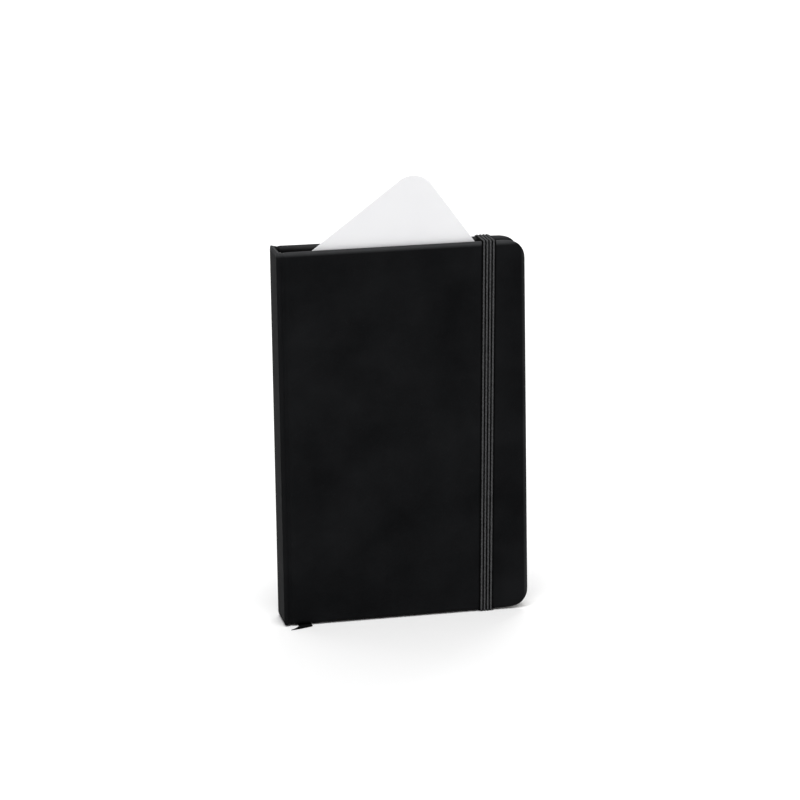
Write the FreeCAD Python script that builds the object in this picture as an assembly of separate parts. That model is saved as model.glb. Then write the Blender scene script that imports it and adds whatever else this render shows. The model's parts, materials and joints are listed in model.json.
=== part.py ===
import FreeCAD, Part

import math
import os

# Pocket notebook with a hard cover, closed by its elastic band, standing on its bottom edge.
# Millimetres. The spine faces -X, the fore edge +X, the front cover -Y, and Z is up.
# The origin is the middle of the bottom of the whole object's box.

Vector = FreeCAD.Vector

# Overall size
COVER_H = 140.0
COVER_W = 93.0
SPINE_T = 17.0          # over both covers at the spine
FORE_T = 12.1           # over both covers at the fore edge, pinched by the band
CORNER_R = 6.8          # the rounded corners of the covers' fore edges

# Case: a wrap around stiff boards, with turn-ins and an infill card level with them
WRAP_T = 0.35
BOARD_T = 1.5
TURN_IN_T = 0.2
TURN_IN_W = 12.0
PASTEDOWN_T = 0.1
PASTEDOWN_INSET = 2.5
COVER_T = WRAP_T + BOARD_T + TURN_IN_T + PASTEDOWN_T
SPINE_BOARD_T = 1.0
SPINE_BOARD_INSET = 0.8
SPINE_EDGE_R = 1.0

# Cover joints: a thin strip of the wrap between the spine and each stiff cover
JOINT_W = 3.45          # from the spine's outer face to the stiff cover
JOINT_T = 0.6
JOINT_CLEARANCE = 0.1
GROOVE_DEPTH = 0.25

# Leaves
SIGNATURES = 10
SQUARE = 3.0            # how far the covers stand past the leaves on three sides
PAGE_CORNER_R = 5.5
FOLD_FROM_SPINE = 3.9   # from the spine's outer face to the signatures' fold centres
FOLD_R = 0.28
SHOULDER = 6.0          # over this length a signature thickens from its fold
LEAF_GAP = 0.05
FLYLEAF_T = 0.12
SIGNATURES_BEFORE_RIBBON = 5
RIBBON_GAP = 0.35

# Sewing, lining and bands at the back of the block
STATIONS = 5
THREAD_R = 0.2
THREAD_CLEARANCE = 0.03
LINING_T = 0.25
BAND_ROLL_R = 0.45      # headband and tailband
BAND_ROLL_GAP = 0.02

# Ribbon marker
RIBBON_W = 5.0
RIBBON_T = 0.25
RIBBON_FROM_SPINE = 5.2
RIBBON_LIFT = 0.05      # the ribbon's clearance over the ground
RIBBON_GLUED_H = 25.0
RIBBON_FOLD_GAP = 0.3   # from the cover to the fold the tail lifts about
RIBBON_FOLD_LENGTH = 0.15   # from that fold to where the tail starts
TAIL_REACH = 5.0        # how far the tail's tip lies in front of the cover
TAIL_SWEEP = 3.6        # how far the tip has curled towards the spine
TAIL_SHORT_SIDE = 1.5   # how far in front the other corner of its slanting cut lies

# Elastic band
ELASTIC_W = 5.4
ELASTIC_T = 0.6
ELASTIC_TOP_X = 33.1    # its middle where it crosses the top edges
ELASTIC_BOTTOM_X = 30.5
SLOT_FROM_EDGE = 14.0   # the slots it comes out of, in the back cover
ANCHOR_H = 10.0
ANCHOR_T = 0.35

# Pocket inside the back cover, open towards the spine
POCKET_W = 73.0
POCKET_FROM_FORE_EDGE = 3.0
POCKET_FROM_TOP = 4.0
POCKET_CORNER_R = 5.0
PANEL_T = 0.35
GUSSET_T = 0.3
GUSSET_W = 8.0
POCKET_STRIP_W = 5.0
POCKET_GAP = 0.05

# Loose sheet behind the front cover, standing on one corner
SHEET_LEFT_EDGE = 58.5
SHEET_RIGHT_EDGE = 66.0
SHEET_T = 0.25
SHEET_CORNER_R = 8.7
SHEET_TURN = 36.0       # degrees the left edge falls from horizontal
SHEET_CORNER_X = 7.3    # where its top corner would be if it were sharp
SHEET_CORNER_RISE = 29.0
SHEET_GAP = 0.05

# Places worked out from the sizes above
X_SPINE = -COVER_W / 2
X_FORE = COVER_W / 2
Y_FRONT = (TAIL_REACH - SPINE_T - ELASTIC_T) / 2
Y_BACK = Y_FRONT + SPINE_T
Z_BOTTOM = ELASTIC_T
Z_TOP = Z_BOTTOM + COVER_H
TILT = math.degrees(math.atan((SPINE_T - FORE_T) / COVER_W))
X_STIFF = X_SPINE + JOINT_W
X_FOLD = X_SPINE + FOLD_FROM_SPINE
X_LEAVES = X_FORE - SQUARE
Z_LEAVES_BOTTOM = Z_BOTTOM + SQUARE
Z_LEAVES_TOP = Z_TOP - SQUARE
BOARD_INNER = WRAP_T + BOARD_T
SHEET_DEPTH = COVER_T + SHEET_GAP
FRONT_FLYLEAF_DEPTH = SHEET_DEPTH + SHEET_T + SHEET_GAP
PANEL_DEPTH = COVER_T + GUSSET_T
BACK_FLYLEAF_DEPTH = PANEL_DEPTH + PANEL_T + POCKET_GAP
X_THREAD = X_FOLD - FOLD_R - THREAD_CLEARANCE - THREAD_R
X_LINING_INNER = X_THREAD - THREAD_R - THREAD_CLEARANCE
X_LINING_OUTER = X_LINING_INNER - LINING_T


def box(x0, x1, y0, y1, z0, z1):
    """A box between two corners."""
    return Part.makeBox(x1 - x0, y1 - y0, z1 - z0, Vector(x0, y0, z0))


def plate(x0, x1, y0, y1, z0, z1, corner_r):
    """A plate facing Y, with the corners of its fore edge rounded."""
    body = box(x0, x1, y0, y1, z0, z1)
    corners = []
    for edge in body.Edges:
        middle = edge.CenterOfMass
        along_y = abs(edge.Vertexes[0].Y - edge.Vertexes[1].Y) > 0
        if along_y and abs(middle.x - x1) < corner_r / 2:
            corners.append(edge)
    return body.makeFillet(corner_r, corners)


def cover_plate(inset, depth0, depth1):
    """A plate of a cover's outline made smaller all round, as if its outer face were at Y = 0."""
    return plate(
        X_STIFF + inset, X_FORE - inset, depth0, depth1,
        Z_BOTTOM + inset, Z_TOP - inset, max(CORNER_R - inset, 1.0),
    )


def prism(points, z0, z1):
    """An upright prism over a closed outline of (x, y) points."""
    corners = [Vector(x, y, z0) for x, y in points]
    outline = Part.makePolygon(corners + corners[:1])
    return Part.Face(outline).extrude(Vector(0, 0, z1 - z0))


def at_front(shape):
    """Bring a shape made for a cover whose outer face is at Y = 0 to the tilted front cover."""
    placed = shape.copy()
    placed.translate(Vector(0, Y_FRONT, 0))
    placed.rotate(Vector(X_SPINE, Y_FRONT, 0), Vector(0, 0, 1), TILT)
    return placed


def at_back(shape):
    """Bring a shape made for a cover whose outer face is at Y = 0 to the back cover."""
    placed = shape.mirror(Vector(0, 0, 0), Vector(0, 1, 0))
    placed.translate(Vector(0, Y_BACK, 0))
    return placed


def front_y(x, depth):
    """Where a plane at a depth behind the front cover's outer face stands at x."""
    slope = math.radians(TILT)
    return Y_FRONT + (x - X_SPINE) * math.tan(slope) + depth / math.cos(slope)


def signature_sides(number, x):
    """The front and back Y of a signature, counted from 1, at x."""
    front = front_y(x, FRONT_FLYLEAF_DEPTH + FLYLEAF_T)
    back = Y_BACK - BACK_FLYLEAF_DEPTH - FLYLEAF_T
    pitch = (back - front - RIBBON_GAP) / SIGNATURES
    start = front + (number - 1) * pitch
    if number > SIGNATURES_BEFORE_RIBBON:
        start += RIBBON_GAP
    return start + LEAF_GAP / 2, start + pitch - LEAF_GAP / 2


def board():
    return cover_plate(WRAP_T, WRAP_T, BOARD_INNER)


def infill():
    return cover_plate(TURN_IN_W, BOARD_INNER, BOARD_INNER + TURN_IN_T)


def cover_wrap():
    """The wrap over the outer face and edges, turned in over the board's inner face."""
    solid = cover_plate(0, 0, COVER_T - PASTEDOWN_T)
    return solid.cut(board()).cut(infill())


def pastedown():
    return cover_plate(PASTEDOWN_INSET, COVER_T - PASTEDOWN_T, COVER_T)


def joint_strip():
    """The thin part of the wrap that bends when a cover opens, lower than the cover's face."""
    return box(
        X_SPINE + SPINE_EDGE_R, X_STIFF - JOINT_CLEARANCE, GROOVE_DEPTH, JOINT_T,
        Z_BOTTOM, Z_TOP,
    )


def spine_board():
    x0 = X_SPINE + WRAP_T
    return box(
        x0, x0 + SPINE_BOARD_T, Y_FRONT + SPINE_BOARD_INSET, Y_BACK - SPINE_BOARD_INSET,
        Z_BOTTOM + WRAP_T, Z_TOP - WRAP_T,
    )


def spine_wrap():
    """The wrap over the spine, its two long edges rounded, with both joint strips."""
    spine = box(X_SPINE, X_SPINE + WRAP_T + SPINE_BOARD_T, Y_FRONT, Y_BACK, Z_BOTTOM, Z_TOP)
    long_edges = []
    for edge in spine.Edges:
        at_spine = all(abs(end.X - X_SPINE) < WRAP_T for end in edge.Vertexes)
        if at_spine and edge.Length > COVER_H / 2:
            long_edges.append(edge)
    spine = spine.makeFillet(SPINE_EDGE_R, long_edges).cut(spine_board())
    return spine.fuse([at_front(joint_strip()), at_back(joint_strip())]).removeSplitter()


def flyleaf(depth):
    return plate(
        X_FOLD, X_LEAVES, depth, depth + FLYLEAF_T,
        Z_LEAVES_BOTTOM, Z_LEAVES_TOP, PAGE_CORNER_R,
    )


def signature(number):
    """A folded sheaf of leaves: a round fold, a shoulder, then a long wedge to the fore edge."""
    x_shoulder = X_FOLD + SHOULDER
    fold_y = sum(signature_sides(number, X_FOLD)) / 2
    stations = (x_shoulder, X_LEAVES)
    fronts = [Vector(x, signature_sides(number, x)[0], 0) for x in stations]
    backs = [Vector(x, signature_sides(number, x)[1], 0) for x in stations]
    side_points = [Vector(X_FOLD, fold_y - FOLD_R, 0)] + fronts + backs[::-1]
    side_points.append(Vector(X_FOLD, fold_y + FOLD_R, 0))
    sides = Part.makePolygon(side_points)
    fold = Part.Arc(side_points[-1], Vector(X_FOLD - FOLD_R, fold_y, 0), side_points[0])
    outline = Part.Wire(sides.Edges + [fold.toShape()])
    sheaf = Part.Face(outline).extrude(Vector(0, 0, Z_TOP))
    trim = plate(
        X_SPINE, X_LEAVES, Y_FRONT, Y_BACK,
        Z_LEAVES_BOTTOM, Z_LEAVES_TOP, PAGE_CORNER_R,
    )
    return sheaf.common(trim)


def block_sides():
    """The front and back Y of all the signatures' folds together."""
    front = sum(signature_sides(1, X_FOLD)) / 2 - FOLD_R
    back = sum(signature_sides(SIGNATURES, X_FOLD)) / 2 + FOLD_R
    return front, back


def spine_lining():
    front, back = block_sides()
    return box(X_LINING_OUTER, X_LINING_INNER, front, back, Z_LEAVES_BOTTOM, Z_LEAVES_TOP)


def across_block(x, z, radius):
    """A round cord across the back of the block."""
    front, back = block_sides()
    return Part.makeCylinder(radius, back - front, Vector(x, front, z), Vector(0, 1, 0))


def sewing_threads():
    spacing = (Z_LEAVES_TOP - Z_LEAVES_BOTTOM) / (STATIONS + 1)
    heights = [Z_LEAVES_BOTTOM + spacing * (n + 1) for n in range(STATIONS)]
    return Part.makeCompound([across_block(X_THREAD, z, THREAD_R) for z in heights])


def headband():
    return across_block(X_THREAD, Z_LEAVES_TOP + BAND_ROLL_GAP + BAND_ROLL_R, BAND_ROLL_R)


def tailband():
    return across_block(X_THREAD, Z_LEAVES_BOTTOM - BAND_ROLL_GAP - BAND_ROLL_R, BAND_ROLL_R)


def ribbon_y(x):
    """The middle of the gap left for the ribbon between two signatures."""
    before = signature_sides(SIGNATURES_BEFORE_RIBBON, x)[1]
    after = signature_sides(SIGNATURES_BEFORE_RIBBON + 1, x)[0]
    return (before + after) / 2


def ribbon_marker():
    """Glued down the lining, over the head, between two signatures, and forward on the ground."""
    x0 = X_SPINE + RIBBON_FROM_SPINE
    x1 = x0 + RIBBON_W
    half = RIBBON_T / 2
    y0, y1 = ribbon_y(x0), ribbon_y(x1)
    over = Z_LEAVES_TOP + 2 * (BAND_ROLL_GAP + BAND_ROLL_R)
    between = prism(
        [(x0, y0 - half), (x1, y1 - half), (x1, y1 + half), (x0, y0 + half)],
        RIBBON_LIFT, over + RIBBON_T,
    )
    head = box(
        X_LINING_OUTER - RIBBON_T, x1, y0 - RIBBON_W / 2, y0 + RIBBON_W / 2,
        over, over + RIBBON_T,
    )
    glued = box(
        X_LINING_OUTER - RIBBON_T, X_LINING_OUTER, y0 - RIBBON_W / 2, y0 + RIBBON_W / 2,
        over - RIBBON_GLUED_H, over + RIBBON_T,
    )
    forward = box(
        x0, x1, Y_FRONT - RIBBON_FOLD_GAP, y0 + half,
        RIBBON_LIFT, RIBBON_LIFT + RIBBON_T,
    )
    return between.fuse([head, glued, forward]).removeSplitter()


def ribbon_tail():
    """The free end in front of the cover, cut on a slant."""
    x0 = X_SPINE + RIBBON_FROM_SPINE
    x1 = x0 + RIBBON_W
    root = Y_FRONT - RIBBON_FOLD_GAP - RIBBON_FOLD_LENGTH
    outline = [
        (x0, root), (x0 - TAIL_SWEEP, Y_FRONT - TAIL_REACH),
        (x1, Y_FRONT - TAIL_SHORT_SIDE), (x1, root),
    ]
    return prism(outline, RIBBON_LIFT, RIBBON_LIFT + RIBBON_T)


def loose_sheet():
    """A rounded rectangle turned onto its corner, most of it hidden behind the front cover."""
    sheet = box(0, SHEET_RIGHT_EDGE, 0, SHEET_T, -SHEET_LEFT_EDGE, 0)
    corners = [e for e in sheet.Edges if abs(e.Vertexes[0].Y - e.Vertexes[1].Y) > 0]
    sheet = sheet.makeFillet(SHEET_CORNER_R, corners)
    sheet.rotate(Vector(0, 0, 0), Vector(0, 1, 0), 90 - SHEET_TURN)
    sheet.translate(Vector(SHEET_CORNER_X, SHEET_DEPTH, Z_TOP + SHEET_CORNER_RISE))
    return at_front(sheet)


def elastic_run():
    """The run of the band over the front cover, leaning a little towards the spine at its foot."""
    half = ELASTIC_W / 2
    corners = [
        Vector(ELASTIC_BOTTOM_X - half, 0, Z_BOTTOM),
        Vector(ELASTIC_BOTTOM_X + half, 0, Z_BOTTOM),
        Vector(ELASTIC_TOP_X + half, 0, Z_TOP),
        Vector(ELASTIC_TOP_X - half, 0, Z_TOP),
    ]
    outline = Part.makePolygon(corners + corners[:1])
    return at_front(Part.Face(outline).extrude(Vector(0, -ELASTIC_T, 0)))


def elastic_loop(x, z0):
    """The short run of the band over both covers' edges."""
    x0, x1 = x - ELASTIC_W / 2, x + ELASTIC_W / 2
    back = Y_BACK + ELASTIC_T
    outline = [(x0, front_y(x0, -ELASTIC_T)), (x1, front_y(x1, -ELASTIC_T)), (x1, back), (x0, back)]
    return prism(outline, z0, z0 + ELASTIC_T)


def elastic_end(x, z_edge, inward):
    """The band's end: down the back cover's outer face, in through its slot, glued to the board."""
    x0, x1 = x - ELASTIC_W / 2, x + ELASTIC_W / 2
    z_slot = z_edge + inward * SLOT_FROM_EDGE
    z_far = z_slot + inward * ANCHOR_H
    z_near = z_slot - inward * ELASTIC_T
    outer = box(x0, x1, -ELASTIC_T, 0, min(z_edge, z_slot), max(z_edge, z_slot))
    neck = box(x0, x1, 0, BOARD_INNER, min(z_near, z_slot), max(z_near, z_slot))
    anchor_front = BOARD_INNER + TURN_IN_T - ANCHOR_T
    anchor = box(
        x0, x1, anchor_front, BOARD_INNER + TURN_IN_T, min(z_near, z_far), max(z_near, z_far),
    )
    return outer.fuse([neck, anchor]).removeSplitter()


def elastic_end_top():
    return elastic_end(ELASTIC_TOP_X, Z_TOP, -1)


def elastic_end_bottom():
    return elastic_end(ELASTIC_BOTTOM_X, Z_BOTTOM, 1)


def with_slots(shape):
    """Make room in a layer of the back cover for the band's two ends."""
    return shape.cut(elastic_end_top()).cut(elastic_end_bottom())


def pocket_panel():
    x1 = X_FORE - POCKET_FROM_FORE_EDGE
    return plate(
        x1 - POCKET_W, x1, PANEL_DEPTH, PANEL_DEPTH + PANEL_T,
        Z_BOTTOM + POCKET_FROM_TOP, Z_TOP - POCKET_FROM_TOP, POCKET_CORNER_R,
    )


def pocket_strip():
    """The glued margin that holds the panel along the fore edge."""
    x1 = X_FORE - POCKET_FROM_FORE_EDGE
    margin = POCKET_FROM_TOP + GUSSET_W
    return box(
        x1 - POCKET_STRIP_W, x1, COVER_T, PANEL_DEPTH, Z_BOTTOM + margin, Z_TOP - margin,
    )


def pocket_gusset(z0):
    """A folded strip of cloth, flat while the pocket is closed."""
    x1 = X_FORE - POCKET_FROM_FORE_EDGE - POCKET_CORNER_R
    x0 = X_FORE - POCKET_FROM_FORE_EDGE - POCKET_W
    return box(x0, x1, COVER_T, PANEL_DEPTH, z0, z0 + GUSSET_W)


def all_parts():
    """Every node's name and shape."""
    parts = {
        "front_board": at_front(board()),
        "front_infill": at_front(infill()),
        "front_cover_wrap": at_front(cover_wrap()),
        "front_pastedown": at_front(pastedown()),
        "front_flyleaf": at_front(flyleaf(FRONT_FLYLEAF_DEPTH)),
        "back_board": at_back(with_slots(board())),
        "back_infill": at_back(with_slots(infill())),
        "back_cover_wrap": at_back(with_slots(cover_wrap())),
        "back_pastedown": at_back(pastedown()),
        "back_flyleaf": at_back(flyleaf(BACK_FLYLEAF_DEPTH)),
        "spine_board": spine_board(),
        "spine_wrap": spine_wrap(),
        "spine_lining": spine_lining(),
        "sewing_threads": sewing_threads(),
        "headband": headband(),
        "tailband": tailband(),
        "ribbon_marker": ribbon_marker(),
        "ribbon_tail": ribbon_tail(),
        "loose_sheet": loose_sheet(),
        "elastic_front_run": elastic_run(),
        "elastic_top_loop": elastic_loop(ELASTIC_TOP_X, Z_TOP),
        "elastic_bottom_loop": elastic_loop(ELASTIC_BOTTOM_X, Z_BOTTOM - ELASTIC_T),
        "elastic_top_end": at_back(elastic_end_top()),
        "elastic_bottom_end": at_back(elastic_end_bottom()),
        "pocket_panel": at_back(pocket_panel()),
        "pocket_strip": at_back(pocket_strip()),
        "pocket_gusset_top": at_back(pocket_gusset(Z_TOP - POCKET_FROM_TOP - GUSSET_W)),
        "pocket_gusset_bottom": at_back(pocket_gusset(Z_BOTTOM + POCKET_FROM_TOP)),
    }
    for number in range(1, SIGNATURES + 1):
        parts[f"signature_{number:02d}"] = signature(number)
    return parts


os.makedirs("parts", exist_ok=True)
for name, shape in all_parts().items():
    shape.exportStep(f"parts/{name}.step")
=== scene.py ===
import json
import math
import random

import bmesh
import bpy
from mathutils import Matrix, Vector

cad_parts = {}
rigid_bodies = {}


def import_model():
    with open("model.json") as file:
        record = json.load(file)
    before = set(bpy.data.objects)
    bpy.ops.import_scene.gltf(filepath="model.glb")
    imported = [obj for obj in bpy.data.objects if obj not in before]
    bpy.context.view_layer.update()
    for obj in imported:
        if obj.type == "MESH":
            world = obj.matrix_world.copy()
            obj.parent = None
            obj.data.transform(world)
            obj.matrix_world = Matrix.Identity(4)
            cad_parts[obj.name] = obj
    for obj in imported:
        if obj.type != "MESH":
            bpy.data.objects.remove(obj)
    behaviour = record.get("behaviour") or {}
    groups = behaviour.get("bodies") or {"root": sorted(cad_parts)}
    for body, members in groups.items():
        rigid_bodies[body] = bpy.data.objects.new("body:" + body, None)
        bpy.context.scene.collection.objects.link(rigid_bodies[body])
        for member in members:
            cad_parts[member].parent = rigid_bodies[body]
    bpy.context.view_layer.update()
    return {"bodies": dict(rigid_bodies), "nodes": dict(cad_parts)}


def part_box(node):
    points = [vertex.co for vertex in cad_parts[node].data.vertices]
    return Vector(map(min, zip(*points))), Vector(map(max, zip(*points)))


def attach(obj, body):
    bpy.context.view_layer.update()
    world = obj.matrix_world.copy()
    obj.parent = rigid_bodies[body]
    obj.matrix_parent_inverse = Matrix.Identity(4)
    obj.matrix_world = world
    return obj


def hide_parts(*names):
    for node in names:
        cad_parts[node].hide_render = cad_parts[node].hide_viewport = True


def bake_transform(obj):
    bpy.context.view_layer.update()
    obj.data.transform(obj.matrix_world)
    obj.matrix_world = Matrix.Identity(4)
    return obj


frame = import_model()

# Looks of a standing pocket notebook: a grained wrap, sewn leaves, a ribbed elastic band,
# a ribbon marker and a loose white sheet. Metres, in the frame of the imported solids.

MM = 0.001

# Sizes of the solids that their boxes don't show
COVER_W = 93.0 * MM
SPINE_T = 17.0 * MM
FORE_T = 12.1 * MM
TILT = math.atan((SPINE_T - FORE_T) / COVER_W)      # of the front cover, pinched by the band
COVER_T = 2.15 * MM
PASTEDOWN_T = 0.1 * MM
CORNER_R = 6.8 * MM
PAGE_CORNER_R = 5.5 * MM
SPINE_EDGE_R = 1.0 * MM
JOINT_W = 3.45 * MM         # from the spine's outer face to the stiff cover
FOLD_R = 0.28 * MM
SHOULDER = 6.0 * MM         # over this length a signature thickens from its fold
SIGNATURES = 10
SIGNATURE_GAP = 0.05 * MM
SHEET_SPACE = 0.35 * MM     # the loose sheet's, between front cover and flyleaf
POCKET_SPACE = 0.70 * MM    # the pocket's, between back cover and flyleaf
FLYLEAF_SPACE = 0.12 * MM
RIBBON_W = 5.0 * MM
RIBBON_FROM_SPINE = 5.2 * MM
RIBBON_SPACE = 0.35 * MM
SIGNATURES_BEFORE_RIBBON = 5
TAIL_SWEEP = 3.6 * MM       # how far the ribbon's tip has curled towards the spine
TAIL_CUT = 3.5 * MM         # how much shorter than that tip its other corner is
ELASTIC_W = 5.4 * MM
ELASTIC_T = 0.6 * MM
SLOT_FROM_EDGE = 14.0 * MM

# Sizes that only the looks have
EDGE_IN = 1.6 * MM          # how far a cover's soft edge rolls in along its face
EDGE_DEEP = 0.85 * MM       # and how deep, from its outer face
INNER_EDGE_DEEP = 0.45 * MM
FRONT_OVERHANG = 0.5 * MM   # how far the front cover stands out past the back one
SPINE_WALL = 1.45 * MM      # from the spine's outer face to its inner one
SPINE_ROLL = 0.45 * MM      # how far the spine's ends draw in, outside and inside
SPINE_INNER_ROLL = 0.05 * MM
SPINE_STEP = 1.4 * MM       # between the points across the spine
SPINE_SWELL = 0.3 * MM      # how far the spine's turned-in ends stand up
SWELL_REACH = 0.9 * MM      # and how far from the spine that fades
JOINT_ROLL = 0.15 * MM
JOINT_SAG = 0.4 * MM        # how far the head and foot of the joint pull in
SAG_FROM_SPINE = 2.2 * MM   # where they do so most
SAG_REACH = 0.85 * MM
END_FADE = 5.0 * MM         # how far from head and foot both have faded
GROOVE_DEPTH = 0.55 * MM
GROOVE_PAST = 0.3 * MM      # how far the groove's slope runs onto the stiff cover
LEAVES = 8                  # in a signature
LEAF_T = 0.045 * MM
FLYLEAF_T = 0.08 * MM
FLYLEAF_SHORT = 0.3 * MM
HINGE_PAPER_T = 0.07 * MM
RIBS = 4
RIB_H = 0.26 * MM
RIB_W = 0.66 * MM
RIB_PITCH = 1.22 * MM
RIBBON_T = 0.20 * MM

# Under the joint, from the stiff cover to the spine: (from the spine, depth) in millimetres
STRIP_INSIDE = [(3.3, 1.25), (2.8, 1.05), (2.3, 0.95), (1.8, 0.95), (1.5, 0.95)]

X_SPINE, Y_FRONT, Z_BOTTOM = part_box("spine_wrap")[0]
Y_BACK, Z_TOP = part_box("spine_wrap")[1][1:]
X_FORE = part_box("back_cover_wrap")[1][0]
X_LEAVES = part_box("signature_01")[1][0]
X_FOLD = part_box("signature_01")[0][0] + FOLD_R
Z_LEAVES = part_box("signature_01")[0][2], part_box("signature_01")[1][2]
Y_MIDDLE = (Y_FRONT + Y_BACK) / 2
FRONT_FLY_DEPTH = COVER_T + SHEET_SPACE + FLYLEAF_SPACE / 2
BACK_FLY_DEPTH = COVER_T + POCKET_SPACE + FLYLEAF_SPACE / 2


# Meshes

def object_from(name, mesh_maker, materials):
    """A smooth mesh object, sharp only at its creases, filled in by mesh_maker(bm)."""
    bm = bmesh.new()
    mesh_maker(bm)
    bmesh.ops.recalc_face_normals(bm, faces=bm.faces)
    mesh = bpy.data.meshes.new(name)
    bm.to_mesh(mesh)
    bm.free()
    for material in materials:
        mesh.materials.append(material)
    for polygon in mesh.polygons:
        polygon.use_smooth = True
    piece = bpy.data.objects.new(name, mesh)
    bpy.context.collection.objects.link(piece)
    mesh.set_sharp_from_angle(angle=math.radians(40))
    return piece


def loft(bm, rings, material_of=None):
    """Quads between rings of points of one length, with a face over each end."""
    verts = [[bm.verts.new(p) for p in ring] for ring in rings]
    count = len(rings[0])
    for near, far in zip(verts, verts[1:]):
        for i in range(count):
            j = (i + 1) % count
            face = bm.faces.new((near[i], near[j], far[j], far[i]))
            if material_of:
                face.material_index = material_of(i)
    bm.faces.new(verts[0])
    bm.faces.new(verts[-1][::-1])


def at_front(x, depth):
    """X and Y of a point at a depth behind the tilted front cover's outer face."""
    dx = x - X_SPINE
    return (
        X_SPINE + dx * math.cos(TILT) - depth * math.sin(TILT),
        Y_FRONT + dx * math.sin(TILT) + depth * math.cos(TILT),
    )


def at_back(x, depth):
    """The same, for the back cover."""
    return x, Y_BACK - depth


def front_y(x, depth=0.0):
    """Y of the plane at that depth behind the front cover's outer face."""
    return Y_FRONT + (x - X_SPINE) * math.tan(TILT) + depth / math.cos(TILT)


def arc(steps):
    """Angles from 0 to 90 degrees."""
    return [math.pi / 2 * n / steps for n in range(steps + 1)]


def levels(z0, z1, roll_in, roll_deep, corner, middle):
    """(height, inset of the rolled edge, inset of the round corner) for rings from z0 to z1."""
    def corner_in(h):
        return corner - math.sqrt(max(corner ** 2 - (corner - min(h, corner)) ** 2, 0.0))

    rise = [(roll_in * (1 - math.cos(a)), roll_deep * (1 - math.sin(a))) for a in arc(5)]
    bottom = [(h, inset, corner_in(h)) for h, inset in rise]
    for a in arc(10)[1:]:
        h = corner * (1 - math.cos(a))
        if h > roll_in * 1.1:
            bottom.append((h, 0.0, corner_in(h)))
    inner = [(corner + (z1 - z0 - 2 * corner) * n / middle, 0.0, 0.0) for n in range(1, middle)]
    top = [(z1 - z0 - h, inset, inward) for h, inset, inward in reversed(bottom)]
    return [(z0 + h, inset, inward) for h, inset, inward in bottom + inner + top]


# Materials

class Nodes:
    """A short way to write a material's nodes, all of it in object coordinates."""

    def __init__(self, name):
        self.material = bpy.data.materials.new(name)
        self.material.use_nodes = True
        self.tree = self.material.node_tree
        self.shader = self.tree.nodes["Principled BSDF"]
        self.place = self.node("ShaderNodeTexCoord").outputs["Object"]

    def node(self, kind, **values):
        made = self.tree.nodes.new(kind)
        for key, value in values.items():
            if hasattr(made, key):
                setattr(made, key, value)
            else:
                self.feed(value, made.inputs[key.replace("_", " ")])
        return made

    def feed(self, value, socket):
        if isinstance(value, bpy.types.NodeSocket):
            self.tree.links.new(value, socket)
        else:
            socket.default_value = value

    def stretched(self, x, y, z):
        """Object coordinates scaled along each axis."""
        mapping = self.node("ShaderNodeMapping", Vector=self.place)
        mapping.inputs["Scale"].default_value = (x, y, z)
        return mapping.outputs["Vector"]

    def noise(self, scale, detail=3.0, rough=0.55, place=None):
        made = self.node("ShaderNodeTexNoise", Vector=place or self.place, Scale=scale,
                         Detail=detail, Roughness=rough)
        return made.outputs["Fac"]

    def cells(self, scale):
        made = self.node("ShaderNodeTexVoronoi", Vector=self.place, Scale=scale)
        return made.outputs["Distance"]

    def span(self, value, low, high, start=0.0, end=1.0):
        """value's stretch from start to end, moved to low..high."""
        made = self.node("ShaderNodeMapRange")
        for name, given in (
            ("Value", value), ("From Min", start), ("From Max", end),
            ("To Min", low), ("To Max", high),
        ):
            self.feed(given, made.inputs[name])
        return made.outputs["Result"]

    def axes(self):
        """The object's x, y and z."""
        return self.node("ShaderNodeSeparateXYZ", Vector=self.place).outputs

    def joined(self, operation, a, b):
        made = self.node("ShaderNodeMath", operation=operation)
        self.feed(a, made.inputs[0])
        self.feed(b, made.inputs[1])
        return made.outputs[0]

    def larger(self, a, b):
        return self.joined("MAXIMUM", a, b)

    def times(self, a, b):
        return self.joined("MULTIPLY", a, b)

    def mix(self, factor, a, b):
        """Colour a where factor is 0 and b where it is 1."""
        made = self.node("ShaderNodeMix", data_type="RGBA")
        self.feed(factor, made.inputs[0])
        self.feed(a, made.inputs[6])
        self.feed(b, made.inputs[7])
        return made.outputs[2]

    def bump(self, height, strength, distance, under=None):
        made = self.node("ShaderNodeBump", Strength=strength, Distance=distance, Height=height)
        if under:
            self.feed(under, made.inputs["Normal"])
        return made.outputs["Normal"]

    def finish(self, colour, roughness, normal, **fixed):
        self.feed(colour, self.shader.inputs["Base Color"])
        self.feed(roughness, self.shader.inputs["Roughness"])
        self.feed(normal, self.shader.inputs["Normal"])
        for name, value in fixed.items():
            self.shader.inputs[name.replace("_", " ")].default_value = value
        return self.material


def grey(value, tint=0.0):
    """A linear grey, a little bluer with tint."""
    return (value, value * (1 + 0.3 * tint), value * (1 + tint), 1.0)


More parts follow.
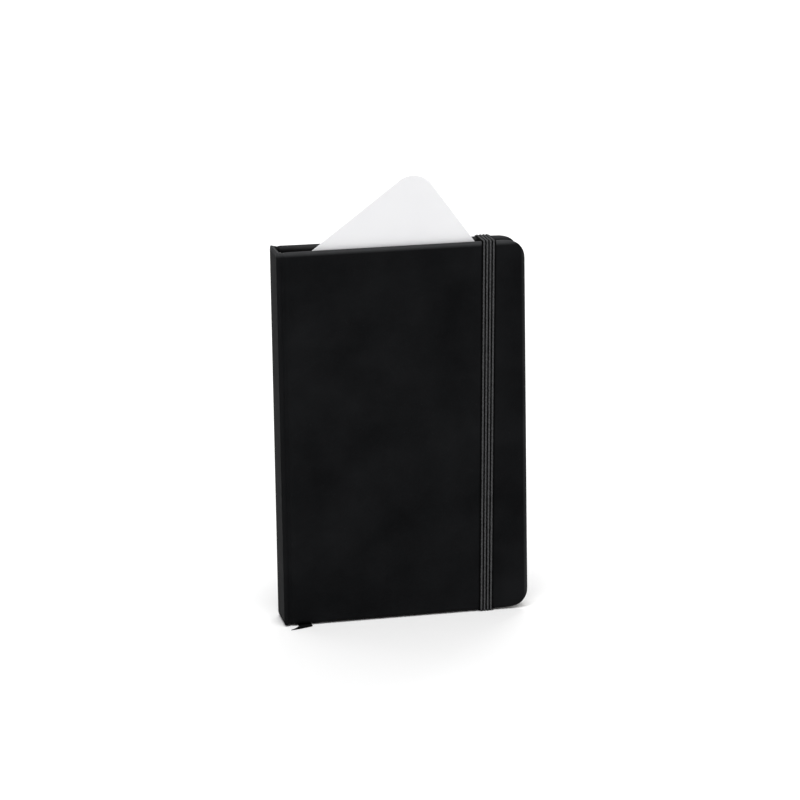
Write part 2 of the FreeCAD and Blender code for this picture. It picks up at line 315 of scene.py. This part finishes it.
def wrap_material():
    """Soft-touch leatherette: a very fine pebble, faint cloudiness, a painted highlight along the top
    edge, the fore edge rubbed paler.
    """
    n = Nodes("cover_wrap_leatherette")
    pebble = n.cells(2600)
    fine = n.noise(5200, 2.0)
    cloud = n.noise(38, 4.0)
    colour = n.mix(n.span(cloud, 0.0, 1.0, 0.35, 0.7), grey(0.0040, 0.15), grey(0.0080, 0.12))
    colour = n.mix(n.span(pebble, 0.35, 0.0, 0.0, 0.35), colour, grey(0.0130, 0.08))
    across, _, height = n.axes()
    # Painted highlight: the band along the top edge is painted paler, as light from above would make
    # it. The paler fore edge is rubbed wear. The cloud noise breaks up both.
    top_highlight_and_fore_wear = n.span(height, 0.0, 1.0, Z_TOP - EDGE_IN * 1.1, Z_TOP - EDGE_IN * 0.4)
    top_highlight_and_fore_wear = n.larger(top_highlight_and_fore_wear, n.span(across, 0.0, 0.7, X_FORE - EDGE_IN * 0.8, X_FORE))
    painted_highlight_and_wear = n.times(top_highlight_and_fore_wear, n.span(cloud, 0.55, 1.0, 0.3, 0.7))
    colour = n.mix(painted_highlight_and_wear, colour, grey(0.045, 0.06))
    normal = n.bump(n.span(fine, 0.0, 1.0), 0.18, 0.00004)
    normal = n.bump(pebble, 0.32, 0.00007, normal)
    return n.finish(colour, n.span(cloud, 0.62, 0.72, 0.3, 0.7), normal, Specular_IOR_Level=0.018)


def paper_material(name, light, dark, roughness=0.85):
    """Uncoated paper: fibres and a faint cloudiness between two tones."""
    n = Nodes(name)
    fibre = n.noise(1400, 4.0, 0.65, n.stretched(1.0, 1.0, 0.6))
    cloud = n.noise(60, 3.0)
    colour = n.mix(n.span(fibre, 0.0, 0.5, 0.3, 0.7), light, dark)
    colour = n.mix(n.span(cloud, 0.0, 0.35, 0.35, 0.75), colour, dark)
    normal = n.bump(fibre, 0.12, 0.00003)
    return n.finish(colour, n.span(fibre, roughness - 0.06, roughness + 0.06), normal)


def card_material():
    """The loose sheet: smooth bright card with a faint tooth."""
    n = Nodes("sheet_card")
    tooth = n.noise(2200, 3.0)
    cloud = n.noise(30, 2.0)
    colour = n.mix(n.span(cloud, 0.0, 1.0, 0.3, 0.7), (0.80, 0.80, 0.81, 1), (0.77, 0.77, 0.785, 1))
    return n.finish(colour, n.span(tooth, 0.55, 0.68), n.bump(tooth, 0.08, 0.00003))


def board_material():
    """Grey-brown fibrous binder's board."""
    n = Nodes("binders_board")
    fibre = n.noise(900, 5.0, 0.7)
    colour = n.mix(fibre, (0.30, 0.27, 0.22, 1), (0.20, 0.18, 0.15, 1))
    return n.finish(colour, n.span(fibre, 0.8, 0.95), n.bump(fibre, 0.3, 0.0001))


def woven_material(name, light, dark, threads, roughness=0.7, sheen=0.0):
    """Plain weave: two sets of threads crossing."""
    n = Nodes(name)
    warp = n.node("ShaderNodeTexWave", Vector=n.place, Scale=threads, bands_direction="X")
    weft = n.node("ShaderNodeTexWave", Vector=n.place, Scale=threads, bands_direction="Z")
    crossing = n.times(warp.outputs["Fac"], weft.outputs["Fac"])
    fuzz = n.noise(4000, 3.0)
    colour = n.mix(crossing, dark, light)
    normal = n.bump(fuzz, 0.2, 0.00004, n.bump(crossing, 0.5, 0.00008))
    return n.finish(colour, n.span(fuzz, roughness - 0.1, roughness + 0.1), normal,
                    Sheen_Weight=sheen)


def rib_material():
    """The band's raised ribs: grey, fuzzy, plaited yarn."""
    n = Nodes("elastic_rib")
    plait = n.node("ShaderNodeTexWave", Vector=n.stretched(0.7, 1.0, 1.0), Scale=480,
                   Distortion=3.0, Detail=2.0, Detail_Scale=2.0, bands_direction="DIAGONAL")
    fuzz = n.noise(3600, 4.0, 0.7)
    colour = n.mix(n.span(fuzz, 0.0, 1.0, 0.3, 0.7), grey(0.035, 0.05), grey(0.10, 0.04))
    colour = n.mix(n.span(plait.outputs["Fac"], 0.45, 0.0), colour, grey(0.03, 0.05))
    normal = n.bump(fuzz, 0.6, 0.00010, n.bump(plait.outputs["Fac"], 0.6, 0.00010))
    return n.finish(colour, n.span(fuzz, 0.8, 1.0), normal, Specular_IOR_Level=0.1)


def elastic_ground_material():
    """The band's black knit between its ribs."""
    n = Nodes("elastic_ground")
    yarn = n.noise(3000, 3.0, 0.6, n.stretched(1.0, 1.0, 0.4))
    colour = n.mix(yarn, grey(0.0008), grey(0.002, 0.1))
    return n.finish(colour, n.span(yarn, 0.85, 0.98), n.bump(yarn, 0.5, 0.00008),
                    Specular_IOR_Level=0.03)


def satin_material():
    """Black satin, its yarns along the ribbon."""
    n = Nodes("ribbon_satin")
    yarn = n.noise(5200, 2.0, 0.5, n.stretched(1.0, 1.0, 0.12))
    colour = n.mix(yarn, grey(0.0012), grey(0.004, 0.1))
    return n.finish(colour, n.span(yarn, 0.45, 0.6), n.bump(yarn, 0.35, 0.00004),
                    Specular_IOR_Level=0.12)


def thread_material():
    """Pale waxed sewing thread, twisted."""
    n = Nodes("waxed_thread")
    twist = n.node("ShaderNodeTexWave", Vector=n.place, Scale=900, bands_direction="DIAGONAL")
    colour = n.mix(twist.outputs["Fac"], (0.62, 0.59, 0.52, 1), (0.85, 0.82, 0.75, 1))
    fuzz = n.noise(6000)
    return n.finish(colour, n.span(fuzz, 0.6, 0.8), n.bump(twist.outputs["Fac"], 0.5, 0.00006))


# Cover halves

def end_shift(x, z):
    """How far the wrap's head and foot move in at the joint and out at the spine."""
    from_spine = x - X_SPINE
    sag = math.exp(-((from_spine - SAG_FROM_SPINE) / SAG_REACH) ** 2) * JOINT_SAG
    swell = math.exp(-(from_spine / SWELL_REACH) ** 2) * SPINE_SWELL
    near_head = max(0.0, 1 - (Z_TOP - z) / END_FADE)
    near_foot = max(0.0, 1 - (z - Z_BOTTOM) / END_FADE)
    return (swell - sag) * near_head ** 2 + sag * near_foot ** 2


def spine_points(place, rolled, spine_side):
    """From mid-spine out round the spine's edge. Rolled is 0 along it and 1 at head and foot."""
    y_face = Y_FRONT if spine_side > 0 else Y_BACK
    x = X_SPINE + SPINE_ROLL * rolled
    points = [(x, Y_MIDDLE)]
    for n in (3, 2, 1, 0):
        points.append((x, y_face + spine_side * (SPINE_EDGE_R + n * SPINE_STEP)))
    for a in arc(6)[1:]:
        x = X_SPINE + SPINE_EDGE_R - (SPINE_EDGE_R - SPINE_ROLL * rolled) * math.cos(a)
        depth = SPINE_EDGE_R - (SPINE_EDGE_R - JOINT_ROLL * rolled) * math.sin(a)
        points.append(place(x, depth))
    return points


def joint_points(place, rolled):
    """Over the groove that bends, from the spine's edge to the stiff cover."""
    steps = 12
    points = []
    for n in range(1, steps):
        share = n / steps
        eased = share * share * (3 - 2 * share)
        roll = JOINT_ROLL + (EDGE_DEEP - JOINT_ROLL) * eased
        dip = GROOVE_DEPTH * (1 - 0.5 * rolled) * math.sin(math.pi * share) ** 2
        x = X_SPINE + SPINE_EDGE_R + share * (JOINT_W + GROOVE_PAST - SPINE_EDGE_R)
        points.append(place(x, roll * rolled + dip))
    return points


def face_points(place, rolled, x_edge):
    """Over the cover's face, round its fore edge and back over its inner face."""
    outer = EDGE_DEEP * rolled
    inner = COVER_T - PASTEDOWN_T - INNER_EDGE_DEEP * rolled
    x_roll = x_edge - EDGE_IN
    outer_roll = min(EDGE_DEEP, (inner - outer) * 0.6)
    inner_roll = min(INNER_EDGE_DEEP, (inner - outer) * 0.4)
    steps = 8
    x0 = X_SPINE + JOINT_W + 2 * GROOVE_PAST
    points = [place(x0 + (x_roll - x0) * n / steps, outer) for n in range(steps + 1)]
    for a in arc(5)[1:]:
        points.append(place(x_roll + EDGE_IN * math.sin(a), outer + outer_roll * (1 - math.cos(a))))
    for a in arc(5)[:-1]:
        points.append(place(x_roll + EDGE_IN * math.cos(a), inner - inner_roll * (1 - math.sin(a))))
    x0 = X_SPINE + JOINT_W
    points += [place(x0 + (x_roll - x0) * n / steps, inner) for n in range(steps, -1, -1)]
    return points


def inside_points(place, rolled, spine_side):
    """Back under the joint and along the inside of the spine to its middle."""
    points = []
    for from_spine, depth in STRIP_INSIDE:
        points.append(place(X_SPINE + from_spine * MM, depth * MM))
    wall = X_SPINE + SPINE_WALL - SPINE_INNER_ROLL * rolled
    points.append((wall, points[-1][1] + spine_side * 0.15 * MM))
    points.append((wall, Y_MIDDLE))
    return points


def cover_half(name, place, spine_side, nodes, material):
    """One cover's wrap with its joint and its half of the spine."""
    x_fore = X_FORE + (FRONT_OVERHANG if spine_side > 0 else 0.0)

    def make(bm):
        rings = []
        for z, inset, inward in levels(Z_BOTTOM, Z_TOP, EDGE_IN, EDGE_DEEP, CORNER_R, 6):
            rolled = inset / EDGE_DEEP
            outline = (
                spine_points(place, rolled, spine_side)
                + joint_points(place, rolled)
                + face_points(place, rolled, x_fore - inward - inset)
                + inside_points(place, rolled, spine_side)
            )
            rings.append([Vector((x, y, z)) for x, y in outline])
        loft(bm, rings)
        bm.normal_update()
        ends = [face for face in bm.faces if len(face.verts) > 4]
        bmesh.ops.triangulate(bm, faces=ends, ngon_method="EAR_CLIP")
        for vert in bm.verts:
            vert.co.z += end_shift(vert.co.x, vert.co.z)

    piece = object_from(name, make, [material])
    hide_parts(*nodes)
    start = Vector((*place(X_SPINE + SPINE_EDGE_R, 0), 0))
    end = Vector((*place(X_SPINE + JOINT_W - 0.15 * MM, 0), 0))
    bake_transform(piece)


def hinge_paper(name, place, depth_far, material):
    """The endpaper's bend between the pastedown and the flyleaf, over the joint."""
    near = COVER_T - 0.5 * PASTEDOWN_T
    # (from the spine in millimetres, depth behind the cover's outer face)
    path = [
        (6.2, near), (4.6, near + 0.01 * MM), (3.4, near + 0.04 * MM), (2.6, near + 0.10 * MM),
        (2.25, near + (depth_far - near) * 0.5), (2.5, depth_far - 0.10 * MM),
        (3.2, depth_far - 0.03 * MM), (4.2, depth_far),
    ]
    half = HINGE_PAPER_T / 2
    z0, z1 = Z_LEAVES

    def make(bm):
        rings = []
        for i, (x, depth) in enumerate(path):
            x0, d0 = path[max(i - 1, 0)]
            x1, d1 = path[min(i + 1, len(path) - 1)]
            across = Vector((-(d1 - d0), (x1 - x0) * MM)).normalized() * half
            ring = []
            for side, z in ((1, z0), (1, z1), (-1, z1), (-1, z0)):
                px = X_SPINE + x * MM + side * across.x
                ring.append(Vector((*place(px, depth + side * across.y), z)))
            rings.append(ring)
        loft(bm, rings)

    piece = object_from(name, make, [material])
    far = Vector((*place(X_FOLD, depth_far), 0))
    close = Vector((*place(X_FOLD, near), 0))
    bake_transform(piece)


# Leaves

def leaf_rings(line, thickness, x_end):
    """Rings up a leaf that follows line(x) from the fold to the fore edge, corners rounded."""
    shares = [0.0, 0.01, 0.025, 0.045, 0.07, 0.11, 0.18, 0.3, 0.5, 0.75, 1.0]   # closer at the fold
    rings = []
    for z, _, inward in levels(*Z_LEAVES, 0.01 * MM, 0.0, PAGE_CORNER_R, 2):
        end = x_end - inward
        stations = [X_FOLD + (end - X_FOLD) * share for share in shares]
        front = [Vector((x, line(x) - thickness / 2, z)) for x in stations]
        back = [Vector((x, line(x) + thickness / 2, z)) for x in reversed(stations)]
        rings.append(front + back)
    return rings


def block_at(x):
    """Front Y of all the signatures at x, and the pitch between them."""
    front = front_y(x, COVER_T + SHEET_SPACE + FLYLEAF_SPACE)
    back = Y_BACK - COVER_T - POCKET_SPACE - FLYLEAF_SPACE
    return front, (back - front - RIBBON_SPACE) / SIGNATURES


def middle_at(number, x):
    """Y of the middle of a signature, counted from 1, at x."""
    front, pitch = block_at(x)
    ribbon = RIBBON_SPACE if number > SIGNATURES_BEFORE_RIBBON else 0.0
    return front + (number - 0.5) * pitch + ribbon


def signature_line(number, share):
    """The middle line of one leaf of a signature; share runs 0 to 1 through its thickness."""
    from_middle = share - 0.5

    def line(x):
        spread = min((x - X_FOLD) / SHOULDER, 1.0)
        narrow = from_middle * 2 * FOLD_R
        full = from_middle * (block_at(x)[1] - SIGNATURE_GAP - LEAF_T)
        return middle_at(number, x) + narrow + (full - narrow) * spread

    return line


def blend_at_fold(piece, y):
    """Bake the leaf's placement into its mesh; the leaf is not bent here, and y is not used."""
    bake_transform(piece)


def signature(number, material):
    """Separate leaves whose fore edges aren't quite even."""
    rng = random.Random(number)

    def make(bm):
        for leaf in range(LEAVES):
            line = signature_line(number, leaf / (LEAVES - 1))
            end = X_LEAVES - rng.uniform(0.0, 0.10) * MM
            loft(bm, leaf_rings(line, LEAF_T, end))

    node = f"signature_{number:02d}"
    piece = object_from(f"{node}_leaves", make, [material])
    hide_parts(node)
    if node in frame["bodies"]:
        blend_at_fold(piece, middle_at(number, X_FOLD))
    else:
        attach(piece, "text_block")


def flyleaf(node, line, material):
    """One stiffer leaf beside the block, along line(x)."""
    rings = leaf_rings(line, FLYLEAF_T, X_LEAVES - FLYLEAF_SHORT)
    piece = object_from(f"{node}_sheet", lambda bm: loft(bm, rings), [material])
    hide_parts(node)
    blend_at_fold(piece, line(X_FOLD))


# Elastic band

def elastic_section(rng):
    """Across the band: (along its width, outward) points, and which of them start a rib's face."""
    half = ELASTIC_W / 2
    under = -ELASTIC_T / 2
    ground = ELASTIC_T / 2 - RIB_H
    side = [(half, under + 0.1 * MM), (half, ground - 0.08 * MM), (half - 0.12 * MM, ground)]
    points = [(-across, out) for across, out in side]
    ribbed = set()
    steps = 6
    for rib in range(RIBS):
        middle = (rib - (RIBS - 1) / 2) * RIB_PITCH + rng.uniform(-0.03, 0.03) * MM
        plump = rng.uniform(0.82, 1.12)
        for n in range(steps + 1):
            share = n / steps
            if n > 0:
                ribbed.add(len(points) - 1)
            rise = RIB_H * max(math.sin(math.pi * share), 0.0) ** 0.7
            points.append((middle + (share - 0.5) * RIB_W * plump, ground + rise * plump))
    points += side[::-1]
    points += [(half - 0.15 * MM, under), (-half + 0.15 * MM, under)]
    return points, ribbed


def edge_loop(x, z_edge, up):
    """Stations from the slot in the back cover over the covers' edges; up is 1 at the head."""
    off = ELASTIC_T / 2
    front = front_y(x)
    z_slot = z_edge - up * SLOT_FROM_EDGE
    across_back = Vector((1, 0, 0))
    across_front = Vector((math.cos(TILT), math.sin(TILT), 0))
    flat_from = 1.5 * MM
    leaving_slot = [
        (-1.0 * MM, -off, (0, 0, -up)),
        (-0.2 * MM, -off * 0.9, (0, 0.3, -up)),
        (off * 0.8, off * 0.3, (0, 1, -0.6 * up)),
        (off, flat_from, (0, 1, 0)),
    ]
    found = []
    for y, z, out in leaving_slot:
        centre = Vector((x, Y_BACK + y, z_slot + up * z))
        found.append((centre, across_back, Vector(out).normalized()))
    for n in range(1, 20):
        centre = Vector((x, Y_BACK + off, z_slot + up * (flat_from + n * 0.6 * MM)))
        found.append((centre, across_back, Vector((0, 1, 0))))
    for a in arc(5):
        out = Vector((0, math.cos(a), up * math.sin(a)))
        centre = Vector((x, Y_BACK - off, z_edge - up * off))
        found.append((centre + out * 2 * off, across_back, out))
    steps = 25
    for n in range(1, steps):
        share = n / steps
        y = Y_BACK - off + (front + off - Y_BACK + off) * share
        across = across_back.lerp(across_front, share).normalized()
        found.append((Vector((x, y, z_edge + up * off)), across, Vector((0, 0, up))))
    for a in arc(5):
        out = Vector((0, -math.sin(a), up * math.cos(a)))
        centre = Vector((x, front + off, z_edge - up * off))
        found.append((centre + out * 2 * off, across_front, out))
    return found


def elastic_path():
    """Centres, width directions and outward directions along the band, from slot to slot."""
    x_top, x_bottom = (
        (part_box(node)[0][0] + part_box(node)[1][0]) / 2
        for node in ("elastic_top_loop", "elastic_bottom_loop")
    )
    across = Vector((math.cos(TILT), math.sin(TILT), 0))
    out = Vector((math.sin(TILT), -math.cos(TILT), 0))
    stations = edge_loop(x_top, Z_TOP, 1)
    steps = 230
    for n in range(1, steps):
        share = n / steps
        x = x_top + (x_bottom - x_top) * share
        z = Z_TOP - ELASTIC_T + (Z_BOTTOM - Z_TOP + 2 * ELASTIC_T) * share
        stations.append((Vector((x, front_y(x, -ELASTIC_T / 2), z)), across, out))
    return stations + edge_loop(x_bottom, Z_BOTTOM, -1)[::-1]


def elastic_band(ground, rib):
    """One strap through both slots, its ribs and ground of different yarn."""
    rng = random.Random(4)
    ribbed = elastic_section(rng)[1]

    def make(bm):
        rings = []
        for centre, across, out in elastic_path():
            section = elastic_section(rng)[0]
            rings.append([centre + across * a + out * b for a, b in section])
        loft(bm, rings, lambda i: 1 if i in ribbed else 0)

    piece = object_from("elastic_band_strap", make, [ground, rib])
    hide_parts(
        "elastic_front_run", "elastic_top_loop", "elastic_bottom_loop",
        "elastic_top_end", "elastic_bottom_end",
    )
    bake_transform(piece)


# Ribbon marker

def tail_root():
    """Y where the flat tail starts, a little behind the front cover's face."""
    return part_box("ribbon_tail")[1][1] + 1.2 * MM


def ribbon_stations():
    """(centre, width direction) from the glued end over the head, down and out to the front."""
    x = X_SPINE + RIBBON_FROM_SPINE + RIBBON_W / 2
    front, pitch = block_at(x)
    y = front + SIGNATURES_BEFORE_RIBBON * pitch + RIBBON_SPACE / 2
    x_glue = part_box("spine_lining")[0][0] - 0.13 * MM
    z_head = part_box("ribbon_marker")[1][2] - 0.13 * MM
    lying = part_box("ribbon_tail")
    z_floor = (lying[0][2] + lying[1][2]) / 2
    along_x, along_y = Vector((1, 0, 0)), Vector((0, 1, 0))
    found = [(Vector((x_glue, y, z)), along_y) for z in (z_head - 24 * MM, z_head - 8 * MM)]

    head_r, head_run, head_dip = 1.1 * MM, 3.0 * MM, 1.6 * MM
    for a in arc(4):
        centre = Vector((x_glue + head_r * (1 - math.cos(a)), y, z_head - head_r * (1 - math.sin(a))))
        found.append((centre, along_y))
    steps = 6
    for n in range(1, steps + 1):
        share = n / steps
        turn = along_y.lerp(along_x, share ** 2).normalized()
        x_over = x_glue + head_r + head_run * share
        found.append((Vector((x_over, y, z_head - head_dip * share ** 3)), turn))

    for z in (Z_LEAVES[1] - 2 * MM, 100 * MM, 60 * MM, 20 * MM, Z_LEAVES[0]):
        found.append((Vector((x, y, z)), along_x))
    foot_r = 2.0 * MM
    for a in arc(6):
        centre = Vector((x, y - foot_r * (1 - math.cos(a)), z_floor + foot_r * (1 - math.sin(a))))
        found.append((centre, along_x))
    steps = 5
    for n in range(1, steps + 1):
        share = n / steps
        y_under = (y - foot_r) + (tail_root() - y + foot_r) * share
        found.append((Vector((x, y_under, z_floor)), along_x))
    return found


def ribbon_rows(columns):
    """Rows of (point, upward or outward direction) across the ribbon, to its slanting tip."""
    half = RIBBON_W / 2
    stations = ribbon_stations()
    rows = []
    for i, (centre, across) in enumerate(stations):
        before = stations[max(i - 1, 0)][0]
        after = stations[min(i + 1, len(stations) - 1)][0]
        normal = (after - before).cross(across).normalized()
        rows.append([(centre + across * half * (2 * c / columns - 1), normal)
                     for c in range(columns + 1)])

    root = stations[-1][0]
    reach = tail_root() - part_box("ribbon_tail")[0][1]
    short = reach - TAIL_CUT
    steps = 16
    for n in range(1, steps + 1):
        along = reach * n / steps
        left = -half - TAIL_SWEEP * (along / reach) ** 2.2
        cut = max(along - short, 0.0) / (reach - short)
        right = half + (left + 0.05 * MM - half) * cut
        lift = 0.08 * MM * math.sin(math.pi * n / steps)
        rows.append([
            (root + Vector((left + (right - left) * c / columns, -along, lift)), Vector((0, 0, 1)))
            for c in range(columns + 1)
        ])
    return rows


def ribbon(material):
    """One strip, from its glued end to its tip."""
    def make(bm):
        rings = []
        for row in ribbon_rows(6):
            upper = [point + out * RIBBON_T / 2 for point, out in row]
            lower = [point - out * RIBBON_T / 2 for point, out in reversed(row)]
            rings.append(upper + lower)
        loft(bm, rings)

    piece = object_from("ribbon_marker_strip", make, [material])
    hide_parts("ribbon_marker", "ribbon_tail")
    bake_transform(piece)


# Small pieces of the binding

def beaded_roll(node, material_a, material_b):
    """A headband: a cord wound with threads of two colours in turn, one bead a turn."""
    low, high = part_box(node)
    centre = (Vector(low) + Vector(high)) / 2
    radius = (high[2] - low[2]) / 2
    beads = 22
    bead_depth = 0.16
    sides = 12

    def make(bm):
        rings = []
        steps = beads * 4
        for n in range(steps + 1):
            y = low[1] + (high[1] - low[1]) * n / steps
            bulge = abs(math.sin(math.pi * beads * n / steps))
            r = radius * (1 - bead_depth + bead_depth * bulge)
            turns = [2 * math.pi * side / sides for side in range(sides)]
            rings.append([
                Vector((centre.x + r * math.cos(turn), y, centre.z + r * math.sin(turn)))
                for turn in turns
            ])
        loft(bm, rings)

    piece = object_from(f"{node}_roll", make, [material_a, material_b])
    for polygon in piece.data.polygons:
        middle = (polygon.center.y - low[1]) / (high[1] - low[1])
        polygon.material_index = int(middle * beads) % 2
    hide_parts(node)
    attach(piece, "text_block")


def gusset(node, material, outer_at_top):
    """A pleat of cloth that opens between the back cover and the pocket's panel."""
    low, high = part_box(node)
    z_out, z_in = (high[2], low[2]) if outer_at_top else (low[2], high[2])
    thick = 0.05 * MM
    clear = 0.04 * MM
    y_cover, y_panel = high[1] - clear, low[1] + clear
    y_fold = (y_cover + y_panel) / 2
    z_glued = z_in + (z_out - z_in) * 0.4
    outer = [(y_cover, z_out), (y_cover, z_glued), (y_fold, z_in), (y_panel, z_glued),
             (y_panel, z_out)]
    inner = [(y_panel + thick, z_out), (y_panel + thick, z_glued),
             (y_fold, z_in + (z_out - z_in) * 0.08),
             (y_cover - thick, z_glued), (y_cover - thick, z_out)]
    steps = 12

    def make(bm):
        rings = []
        for n in range(steps + 1):
            x = low[0] + (high[0] - low[0]) * n / steps
            rings.append([Vector((x, y, z)) for y, z in outer + inner])
        loft(bm, rings)

    piece = object_from(f"{node}_pleat", make, [material])
    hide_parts(node)
    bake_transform(piece)


def paint(material, *nodes):
    """Give kept solids their material."""
    for node in nodes:
        mesh = frame["nodes"][node].data
        mesh.materials.clear()
        mesh.materials.append(material)


# Surroundings

def area_light(name, place, aim, size, power):
    """A soft rectangular lamp at a place, turned to its aim."""
    lamp = bpy.data.lights.new(name, "AREA")
    lamp.shape = "RECTANGLE"
    lamp.size, lamp.size_y = size
    lamp.energy = power
    holder = bpy.data.objects.new(name, lamp)
    bpy.context.collection.objects.link(holder)
    holder.location = place
    holder.rotation_euler = (Vector(aim) - Vector(place)).to_track_quat("-Z", "Y").to_euler()


def floor():
    """A wide pale sweep that rises behind the object."""
    y_near, y_far, y_rise = -3.0, 3.5, 1.2
    steps = 24

    def make(bm):
        rows = []
        for n in range(steps + 1):
            y = y_near + (y_far - y_near) * n / steps
            z = max(y - y_rise, 0.0) ** 2 * 0.35
            rows.append([bm.verts.new((x, y, z)) for x in (-4, -2, 0, 2, 4)])
        for near, far in zip(rows, rows[1:]):
            for i in range(len(near) - 1):
                bm.faces.new((near[i], near[i + 1], far[i + 1], far[i]))

    n = Nodes("pale_floor")
    soft = n.noise(3.0, 2.0)
    colour = n.mix(soft, (0.90, 0.90, 0.90, 1), (0.92, 0.92, 0.92, 1))
    material = n.finish(colour, n.span(soft, 0.88, 0.92), n.bump(soft, 0.02, 0.0005))
    piece = object_from("studio_floor", make, [material])


def world():
    """Even white light from all round."""
    made = bpy.data.worlds.new("studio")
    made.use_nodes = True
    background = made.node_tree.nodes["Background"]
    background.inputs["Color"].default_value = (1, 1, 1, 1)
    background.inputs["Strength"].default_value = 0.28
    bpy.context.scene.world = made


def camera():
    """Long lens, a little above and to the spine side of the front cover."""
    yaw, pitch, roll = (math.radians(a) for a in (10.356, 12.585, -0.906))
    turn = (
        Matrix.Rotation(-yaw, 3, "Z")
        @ Matrix.Rotation(math.pi / 2 - pitch, 3, "X")
        @ Matrix.Rotation(roll, 3, "Z")
    )
    middle = Vector((0, Y_MIDDLE, (Z_BOTTOM + Z_TOP) / 2))
    place = middle + Vector((-0.2387, -1.3050, 0.3074))
    lens = bpy.data.cameras.new("camera")
    lens.lens = 165.2
    lens.sensor_width = 36
    lens.clip_start = 0.05
    lens.clip_end = 20
    holder = bpy.data.objects.new("camera", lens)
    bpy.context.collection.objects.link(holder)
    holder.matrix_world = Matrix.Translation(place) @ turn.to_4x4()
    bpy.context.scene.camera = holder
    bpy.context.scene.view_settings.view_transform = "Standard"


# Build

WRAP = wrap_material()
PAPER = paper_material("page_paper", (0.80, 0.77, 0.69, 1), (0.72, 0.68, 0.59, 1))
ENDPAPER = paper_material("endpaper", (0.78, 0.75, 0.67, 1), (0.70, 0.66, 0.57, 1), 0.8)
CARD = paper_material("pocket_card", (0.76, 0.73, 0.64, 1), (0.66, 0.62, 0.53, 1), 0.75)
BLACK_CLOTH = woven_material("pocket_cloth", grey(0.02), grey(0.006), 900)
LINING = woven_material("spine_mull", grey(0.62), grey(0.40), 700)
HEADBAND = woven_material("headband_black", grey(0.02), grey(0.006), 1500, sheen=0.2)
HEADBAND_LIGHT = woven_material("headband_grey", grey(0.20), grey(0.10), 1500, sheen=0.2)

cover_half("front_cover_case", at_front, 1, ["front_cover_wrap", "spine_wrap"], WRAP)
cover_half("back_cover_case", at_back, -1, ["back_cover_wrap"], WRAP)
for count in range(1, SIGNATURES + 1):
    signature(count, PAPER)
flyleaf("front_flyleaf", lambda x: front_y(x, FRONT_FLY_DEPTH), ENDPAPER)
flyleaf("back_flyleaf", lambda x: Y_BACK - BACK_FLY_DEPTH, ENDPAPER)
hinge_paper("front_hinge_paper", at_front, FRONT_FLY_DEPTH, ENDPAPER)
hinge_paper("back_hinge_paper", at_back, BACK_FLY_DEPTH, ENDPAPER)
elastic_band(elastic_ground_material(), rib_material())
ribbon(satin_material())
beaded_roll("headband", HEADBAND, HEADBAND_LIGHT)
beaded_roll("tailband", HEADBAND, HEADBAND_LIGHT)
gusset("pocket_gusset_top", BLACK_CLOTH, True)
gusset("pocket_gusset_bottom", BLACK_CLOTH, False)
paint(board_material(), "front_board", "back_board", "spine_board", "front_infill", "back_infill")
paint(ENDPAPER, "front_pastedown", "back_pastedown")
paint(CARD, "pocket_panel", "pocket_strip")
paint(LINING, "spine_lining")
paint(thread_material(), "sewing_threads")
paint(card_material(), "loose_sheet")

floor()
world()
area_light("overhead", (-0.1, -0.45, 1.35), (0, 0, 0.05), (0.9, 0.7), 15)
area_light("front", (-0.3, -2.2, 1.5), (0, 0, 0.07), (1.6, 1.0), 16)
area_light("rim", (0.5, 1.3, 1.1), (0, 0, 0.08), (0.9, 0.6), 8)
area_light("sweep", (0.0, 1.1, 1.7), (0, 2.2, 0.2), (2.4, 0.8), 24)
camera()
